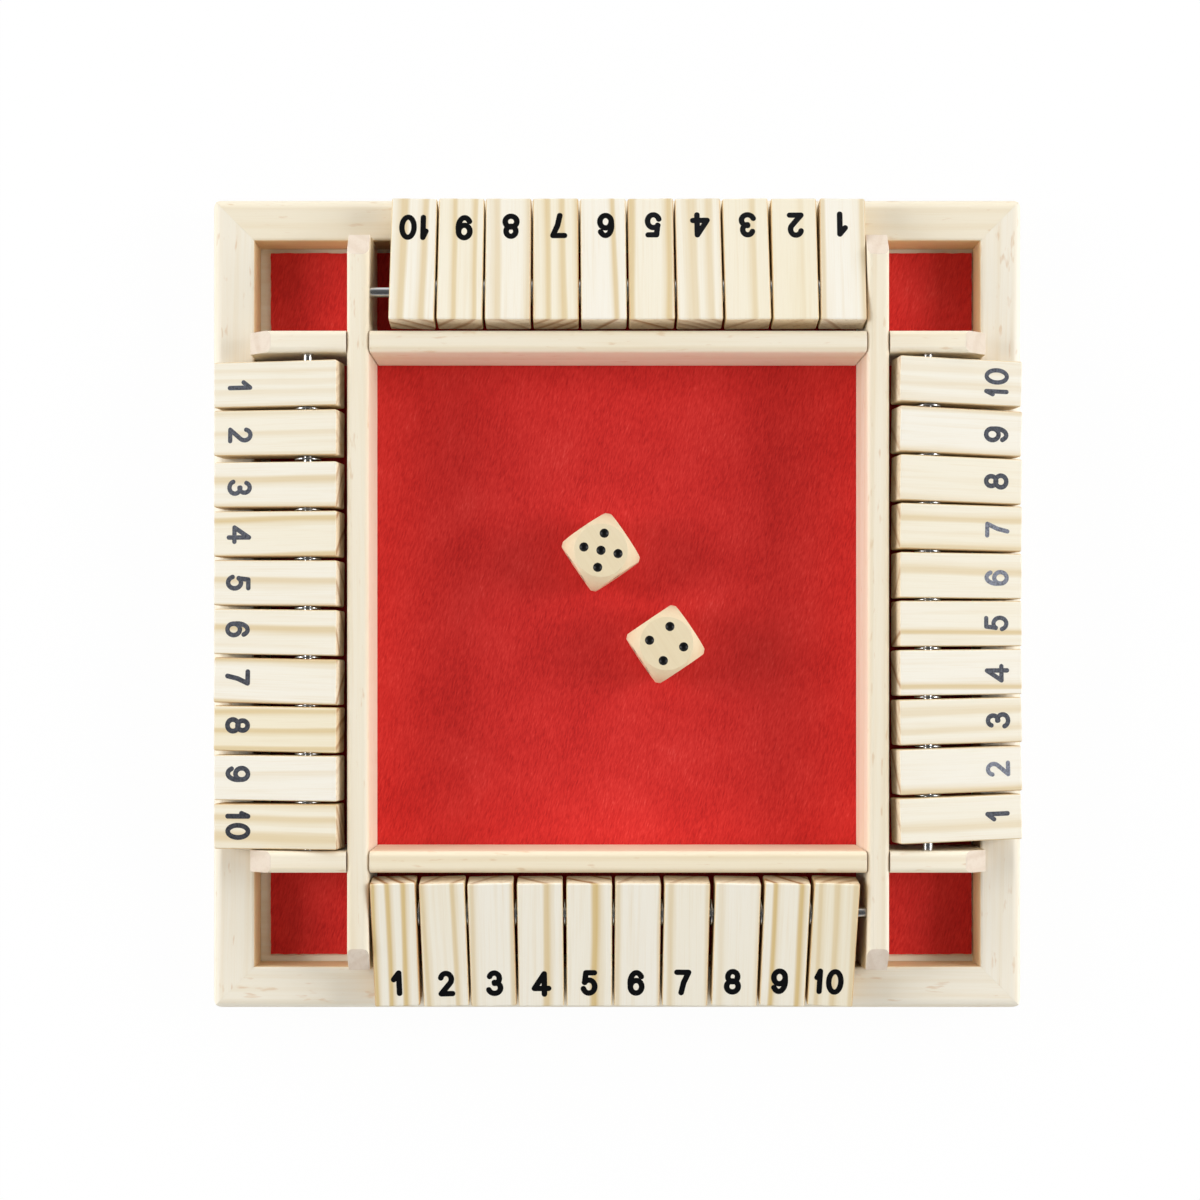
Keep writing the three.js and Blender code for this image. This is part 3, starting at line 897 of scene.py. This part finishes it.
def tile_place(node):
    """A tile's own axes: X across, Y towards the bore, Z out of the face, from the face's middle."""
    bm = clean_copy(node)
    face = max((f for f in bm.faces if f.normal.z > 0.9), key=lambda f: f.calc_area())
    edge = max(face.edges, key=lambda e: e.calc_length())
    up = face.normal.copy()
    middle = face.calc_center_bounds()
    inward = (edge.verts[1].co - edge.verts[0].co).normalized()
    if inward.dot(middle - Vector((0, 0, middle.z))) > 0:
        inward.negate()
    across = inward.cross(up)
    bm.free()
    columns = Matrix((across, inward, up)).transposed().to_4x4()
    return Matrix.Translation(middle) @ columns


def tile_size(node, place):
    """A tile's width, length and thickness along its own axes."""
    away = place.inverted()
    points = [away @ v.co for v in frame["nodes"][node].data.vertices]
    return Vector([max(p[i] for p in points) - min(p[i] for p in points) for i in range(3)])


sample = "tile_bottom_5"
sample_place = tile_place(sample)
tile = tile_size(sample, sample_place)
bore_at = sample_place.inverted() @ Vector(joint_of[sample + "_flip"]["pos_m"])


def wood_of_face(face, across):
    """Which of a tile's three woods a face shows: planed, end grain, or the darker side wood that is painted
    shade.
    """
    if face.material_index:
        return 1
    return 2 if abs(face.normal.dot(across)) > 0.55 else 0


def tile_shape():
    """The tile in its own axes, with its face at Z = 0."""
    bm = block((-tile.x / 2, -tile.y / 2, -tile.z), (tile.x / 2, tile.y / 2, 0))
    drill = bar((-tile.x, bore_at.y, bore_at.z), (tile.x, bore_at.y, bore_at.z), BORE_RADIUS, 32)
    bm = cut(bm, drill)
    ease(bm, TILE_EDGE)
    return bm


print("tile:", [round(v / MM, 2) for v in tile], "mm, bore", round(bore_at.y / MM, 2), "mm from the middle")

# %% [markdown]
# ## Numbers
# The numbers are printed with a plain rounded stencil letter: every stroke has the same width
# and round ends. So a digit is a few pen strokes, lines and arcs, in a box of width and height
# one. Each stroke becomes an outline, a constrained triangulation joins the outlines that
# overlap into one shape, and that is pulled up by the thickness of the ink.

# %% Strokes of the digits
ARC_STEP = math.radians(12)
CAP_STEPS = 8


def line(x0, y0, x1, y1):
    return [(x0, y0), (x1, y1)]


def arc(cx, cy, rx, ry, start, end):
    """Points on an ellipse from one angle to another, in degrees."""
    start, end = math.radians(start), math.radians(end)
    steps = max(2, round(abs(end - start) / ARC_STEP))
    angles = [start + (end - start) * i / steps for i in range(steps + 1)]
    return [(cx + rx * math.cos(a), cy + ry * math.sin(a)) for a in angles]


def ring(cx, cy, rx, ry):
    return [arc(cx, cy, rx, ry, 0, 180), arc(cx, cy, rx, ry, 180, 360)]


def turned(strokes):
    """The strokes turned upside down, which makes a nine of a six."""
    return [[(1 - x, 1 - y) for x, y in stroke] for stroke in strokes]


six = [arc(0.53, 0.5, 0.53, 0.5, 38, 200)] + ring(0.51, 0.31, 0.49, 0.31)
STROKES = {
    "0": ring(0.5, 0.5, 0.5, 0.5),
    "1": [line(0.8, 0, 0.8, 1), line(0.8, 1, 0.05, 0.68)],
    "2": [arc(0.48, 0.71, 0.46, 0.29, 165, -38), line(0.84, 0.53, 0.02, 0), line(0.02, 0, 1, 0)],
    "3": [arc(0.47, 0.745, 0.43, 0.255, 160, -90), arc(0.46, 0.27, 0.52, 0.27, 90, -162)],
    "4": [line(0.7, 1, 0, 0.28), line(0, 0.28, 1, 0.28), line(0.7, 1, 0.7, 0)],
    "5": [line(0.2, 1, 0.93, 1), line(0.2, 1, 0.1, 0.52), arc(0.46, 0.32, 0.5, 0.32, 140, -162)],
    "6": six,
    "7": [line(0, 1, 1, 1), line(1, 1, 0.6, 0.5), line(0.6, 0.5, 0.4, 0)],
    "8": ring(0.5, 0.75, 0.42, 0.25) + ring(0.5, 0.27, 0.5, 0.27),
    "9": turned(six),
}
print("digits:", "".join(STROKES))

# %% [markdown]
# A number's box is the box of its strokes' centre lines. The ones are narrower than the other
# digits, and both digits of the ten are printed slimmer, to fit one tile.

# %% Digits as thin solids
NUMBER_HEIGHT = 7.15 * MM
STROKE = 1.5 * MM
SLIM_STROKE = 1.45 * MM
DIGIT_WIDTH = 4.6 * MM
FOUR_WIDTH = 5.3 * MM
ONE_WIDTH = 3.4 * MM
SLIM_WIDTH = 4.7 * MM
SLIM_ONE_WIDTH = 2.5 * MM
TEN_GAP = 0.75 * MM
THINNED = 0.8 * MM  # how much thinner a fully worn stroke prints
MOST_THINNED = 0.33 * MM
INK_SUNK = 0.02 * MM
INK_PROUD = 0.03 * MM


def outline(points, width):
    """The outline of a pen stroke with round ends."""
    points = [Vector(p) for p in points]
    count = len(points)
    sides = []
    for i in range(count):
        ahead = (points[min(i + 1, count - 1)] - points[max(i - 1, 0)]).normalized()
        sides.append(Vector((-ahead.y, ahead.x)) * width / 2)
    left = [p + s for p, s in zip(points, sides)]
    right = [p - s for p, s in zip(points, sides)]

    def cap(centre, side):
        turns = [Matrix.Rotation(math.pi * i / CAP_STEPS, 2) for i in range(1, CAP_STEPS)]
        return [centre + turn @ side for turn in turns]

    return right + cap(points[-1], -sides[-1]) + left[::-1] + cap(points[0], sides[0])


def number_strokes(text):
    """The strokes of a number in metres, centred on its own middle."""
    slim = len(text) > 1
    width = SLIM_STROKE if slim else STROKE
    wide, narrow = (SLIM_WIDTH, SLIM_ONE_WIDTH) if slim else (DIGIT_WIDTH, ONE_WIDTH)
    strokes = []
    at = 0
    for digit in text:
        digit_width = {"1": narrow, "4": FOUR_WIDTH}.get(digit, wide)
        for stroke in STROKES[digit]:
            scaled = [
                (at + width / 2 + x * (digit_width - width), (y - 0.5) * (NUMBER_HEIGHT - width))
                for x, y in stroke
            ]
            strokes.append(scaled)
        at += digit_width + TEN_GAP
    middle = (at - TEN_GAP) / 2
    return [[(x - middle, y) for x, y in stroke] for stroke in strokes], width


def number_shape(text, thinned):
    """The number as a thin solid on the plane Z = 0, its strokes thinned by wear."""
    strokes, width = number_strokes(text)
    points, faces = [], []
    for stroke in strokes:
        edge = outline(stroke, width - thinned)
        faces.append(list(range(len(points), len(points) + len(edge))))
        points += edge
    scale = 1 / MM  # the triangulation works in millimetres, because its tolerance is absolute
    found = geometry.delaunay_2d_cdt([p * scale for p in points], [], faces, 0, 1e-5)
    bm = bmesh.new()
    verts = [bm.verts.new((p.x / scale, p.y / scale, -INK_SUNK)) for p in found[0]]
    for face, inside in zip(found[2], found[5]):
        if inside:
            bm.faces.new([verts[i] for i in face])
    bmesh.ops.delete(bm, geom=[v for v in verts if not v.link_faces], context="VERTS")
    bmesh.ops.dissolve_limit(bm, angle_limit=math.radians(1), verts=bm.verts, edges=bm.edges)
    bmesh.ops.recalc_face_normals(bm, faces=bm.faces)
    raised = bmesh.ops.extrude_face_region(bm, geom=bm.faces[:], use_keep_orig=True)["geom"]
    moved = [v for v in raised if isinstance(v, bmesh.types.BMVert)]
    bmesh.ops.translate(bm, vec=(0, 0, INK_SUNK + INK_PROUD), verts=moved)
    bmesh.ops.recalc_face_normals(bm, faces=bm.faces)
    return bm


print("numbers:", NUMBER_HEIGHT / MM, "mm high")

# %% [markdown]
# Now the forty tiles. Each one rides on its own body, so that it turns on its rod, and its
# number rides with it. A few dark bands on cream are what tells one tile from the next, so each
# tile's board is described by a line: where two neighbouring bands cross its face, in shares of
# its width from its player's left, how strong they are, and how yellow the wood is. Where the
# second share is past 1, only one band shows.

# %% Forty tiles and their numbers
PRINTED_AT = {  # mm to the right of the tile's middle line, and mm from its outer end
    "bottom": [
        (0.1, 6.5), (0.2, 6.4), (0.4, 6.5), (0.1, 6.3), (0.0, 6.6),
        (-0.3, 6.6), (-0.7, 6.7), (-0.6, 6.9), (-1.0, 7.0), (-0.7, 6.9),
    ],
    "right": [
        (0.4, 6.9), (0.0, 6.8), (0.0, 6.8), (-0.4, 7.1), (0.1, 7.3),
        (-0.5, 7.2), (-0.4, 7.0), (-0.1, 7.3), (-0.4, 7.3), (0.1, 7.2),
    ],
    "top": [
        (0.2, 7.4), (-0.4, 7.7), (-0.4, 7.6), (-0.5, 7.6), (-0.6, 7.6),
        (-0.7, 7.8), (-0.8, 7.8), (-0.7, 8.0), (-0.8, 8.4), (-0.1, 8.3),
    ],
    "left": [
        (0.3, 7.4), (0.6, 7.5), (0.9, 7.3), (0.2, 7.1), (0.1, 6.9),
        (-0.6, 6.7), (-0.8, 6.7), (-0.8, 6.7), (-1.0, 6.8), (-0.3, 6.8),
    ],
}
FIGURES = {
    "bottom": [
        (0.37, 0.69, 1.0, 0.2), (0.07, 0.72, 0.7, 0.4), (0.04, 0.94, 0.6, 0.1), (0.63, 1.5, 0.8, 0.2),
        (0.62, 1.5, 1.0, 0.3), (0.05, 0.97, 0.5, 0.1), (0.14, 0.96, 0.5, 0.4), (0.99, 1.9, 0.3, 0.3),
        (0.22, 0.77, 1.0, 0.3), (0.15, 0.5, 0.6, 0.8),
    ],
    "right": [
        (0.3, 1.3, 0.4, 0.4), (0.03, 0.96, 0.7, 0.2), (0.3, 0.65, 0.4, 0.4), (0.18, 1.4, 0.8, 0.1),
        (0.3, 1.2, 0.8, 0.4), (0.6, 1.5, 0.5, 0.5), (0.7, 1.4, 0.6, 0.6), (0.03, 1.3, 0.3, 0.5),
        (0.95, 1.9, 0.5, 0.1), (0.06, 0.36, 0.22, 0.2),
    ],
    "top": [
        (0.06, 0.9, 0.6, 0.1), (0.35, 1.2, 0.2, 0.9), (0.33, 1.1, 0.5, 0.8), (0.25, 0.6, 0.5, 0.4),
        (0.1, 0.9, 0.8, 0.5), (0.25, 1.3, 0.8, 0.1), (0.33, 0.68, 0.7, 0.7), (0.05, 0.7, 0.5, 0.3),
        (0.16, 0.6, 0.7, 0.5), (0.25, 0.71, 0.7, 0.2),
    ],
    "left": [
        (0.7, 0.96, 0.22, 0.3), (0.5, 0.97, 0.3, 0.4), (0.35, 0.97, 0.6, 0.2), (0.2, 0.95, 0.8, 0.5),
        (0.42, 0.95, 0.6, 0.2), (0.42, 1.4, 0.7, 0.3), (0.03, 0.96, 0.8, 0.2), (0.1, 0.5, 0.7, 1.0),
        (0.4, 1.4, 0.25, 0.1), (0.3, 0.65, 0.6, 0.6),
    ],
}
# Per tile: the strokes print thinner, which is wear, and the ink turns blue-grey, which is painted
# reflection.
WEAR_AND_REFLECTION = {  # of the print: 0 is full black, 1 is worn to grey
    "bottom": [0, 0, 0, 0, 0, 0, 0, 0, 0, 0],
    "right": [0.35, 0.9, 0.31, 0.37, 0.41, 0.9, 0.8, 0.3, 0.31, 0.37],
    "top": [0.02, 0.02, 0.02, 0.02, 0.02, 0, 0, 0, 0, 0],
    "left": [0.37, 0.38, 0.37, 0.37, 0.31, 0.31, 0.26, 0.22, 0.26, 0.17],
}

TILE_WOODS = [tile_pine, tile_pine_end_and_painted_shade, tile_pine_painted_shade]

for side in SIDES:
    for number in range(1, 11):
        node = f"tile_{side}_{number}"
        first, second, strength, yellow = FIGURES[side][number - 1]
        place = tile_place(node)
        bm = tile_shape()
        bmesh.ops.transform(bm, matrix=place, verts=bm.verts)
        across, along = place.to_3x3().col[0], place.to_3x3().col[1]
        saw(
            bm, node, along, across, spacing=(second - first) * tile.x, tone=yellow, contrast=strength,
            through=place @ Vector(((first - 0.5) * tile.x, 0, 0)),
        )
        for face in bm.faces:
            face.material_index = wood_of_face(face, across)
        place_piece(f"wooden_{node}", bm, node, TILE_WOODS, [node])
        # This number thins the strokes as wear, and sets the ink's painted reflection.
        wear_and_reflection = WEAR_AND_REFLECTION[side][number - 1]
        bm = number_shape(str(number), min(MOST_THINNED, THINNED * wear_and_reflection))
        aside, from_end = PRINTED_AT[side][number - 1]
        number_at = Matrix.Translation((aside * MM, -tile.y / 2 + from_end * MM, 0))
        bmesh.ops.transform(bm, matrix=place @ number_at, verts=bm.verts)
        wear_and_reflection_layer = bm.verts.layers.float.new("wear_and_reflection")
        for vert in bm.verts:
            vert[wear_and_reflection_layer] = wear_and_reflection
        place_piece(f"number_{side}_{number}", bm, node, [number_ink])
    print(side, "tiles done")

# %% [markdown]
# ## Dice
# A wooden die starts as a cube and is tumbled until a ball's curve has worn its corners and
# edges, which leaves a round flat on each face. So the shape is what a cube with eased edges
# and a ball have in common. The pips are shallow round dimples, painted black.

# %% Dice
DIE_FLAT = 14.3 * MM
DIE_EDGE = 0.9 * MM
PIP_PITCH = 3.3 * MM
PIP_RADIUS = 1.25 * MM
PIP_DEPTH = 0.55 * MM
ON_BALL = 0.01 * MM  # a point this near a ball's surface lies on it
DIE_BANDS = 3 * MM
DIE_TONE = 0.6
DIE_CONTRAST = 0.06
PIPS = {
    1: [(0, 0)],
    2: [(-1, 1), (1, -1)],
    3: [(-1, 1), (0, 0), (1, -1)],
    4: [(-1, 1), (1, 1), (-1, -1), (1, -1)],
    5: [(-1, 1), (1, 1), (0, 0), (-1, -1), (1, -1)],
    6: [(-1, 1), (1, 1), (-1, 0), (1, 0), (-1, -1), (1, -1)],
}
DICE = {"die_1": (5, 1), "die_2": (4, 1)}  # the faces that point up and to the front


def die_place(node):
    """A die's middle, its size and its turn about Z."""
    bm = clean_copy(node)
    sides = [f for f in bm.faces if abs(f.normal.z) < 0.1 and f.normal.x > 0.7]
    side = max(sides, key=lambda f: f.calc_area())
    turn = math.atan2(side.normal.y, side.normal.x)
    bm.free()
    low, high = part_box(node)
    size = high.z - low.z
    return Matrix.Translation((low + high) / 2) @ Matrix.Rotation(turn, 4, "Z"), size


def die_shape(size, top, front):
    """A die about the origin, and the middles of the balls that sink its pips."""
    half = size / 2
    bm = block((-half,) * 3, (half,) * 3)
    ease(bm, DIE_EDGE, 5)
    ball = bmesh.new()
    bmesh.ops.create_uvsphere(ball, u_segments=96, v_segments=48, radius=math.hypot(half, DIE_FLAT / 2))
    bm = cut(bm, ball, "INTERSECT")
    side = next(n for n in (1, 2, 3) if n not in (top, 7 - top, front, 7 - front))
    quarter = math.pi / 2
    faces = (
        (top, Matrix.Identity(4)),
        (7 - top, Matrix.Rotation(math.pi, 4, "X")),
        (front, Matrix.Rotation(quarter, 4, "X")),
        (7 - front, Matrix.Rotation(-quarter, 4, "X")),
        (side, Matrix.Rotation(quarter, 4, "Y")),
        (7 - side, Matrix.Rotation(-quarter, 4, "Y")),
    )
    sink = (PIP_RADIUS**2 + PIP_DEPTH**2) / (2 * PIP_DEPTH)
    middles = []
    for count, turn in faces:
        for x, y in PIPS[count]:
            middle = turn @ Vector((x * PIP_PITCH, y * PIP_PITCH, half - PIP_DEPTH + sink))
            tool = bmesh.new()
            bmesh.ops.create_uvsphere(
                tool, u_segments=32, v_segments=24, radius=sink, matrix=Matrix.Translation(middle) @ turn
            )
            bm = cut(bm, tool)
            middles.append(middle)
    return bm, middles, sink


def is_dimple(face, middle, radius):
    """Whether all of a face lies on the ball that sank a pip."""
    return all(abs((vert.co - middle).length - radius) < ON_BALL for vert in face.verts)


for node, (top, front) in DICE.items():
    place, size = die_place(node)
    bm, middles, sink = die_shape(size, top, front)
    saw(bm, node, (0, 1, 0), (1, 0, 0), DIE_BANDS, DIE_TONE, DIE_CONTRAST)
    for face in bm.faces:
        face.material_index = int(any(is_dimple(face, middle, sink) for middle in middles))
    bmesh.ops.transform(bm, matrix=place, verts=bm.verts)
    place_piece(f"wooden_{node}", bm, node, [die_wood, pip_paint], [node])
    print(node, "size", round(size / MM, 2), "mm")
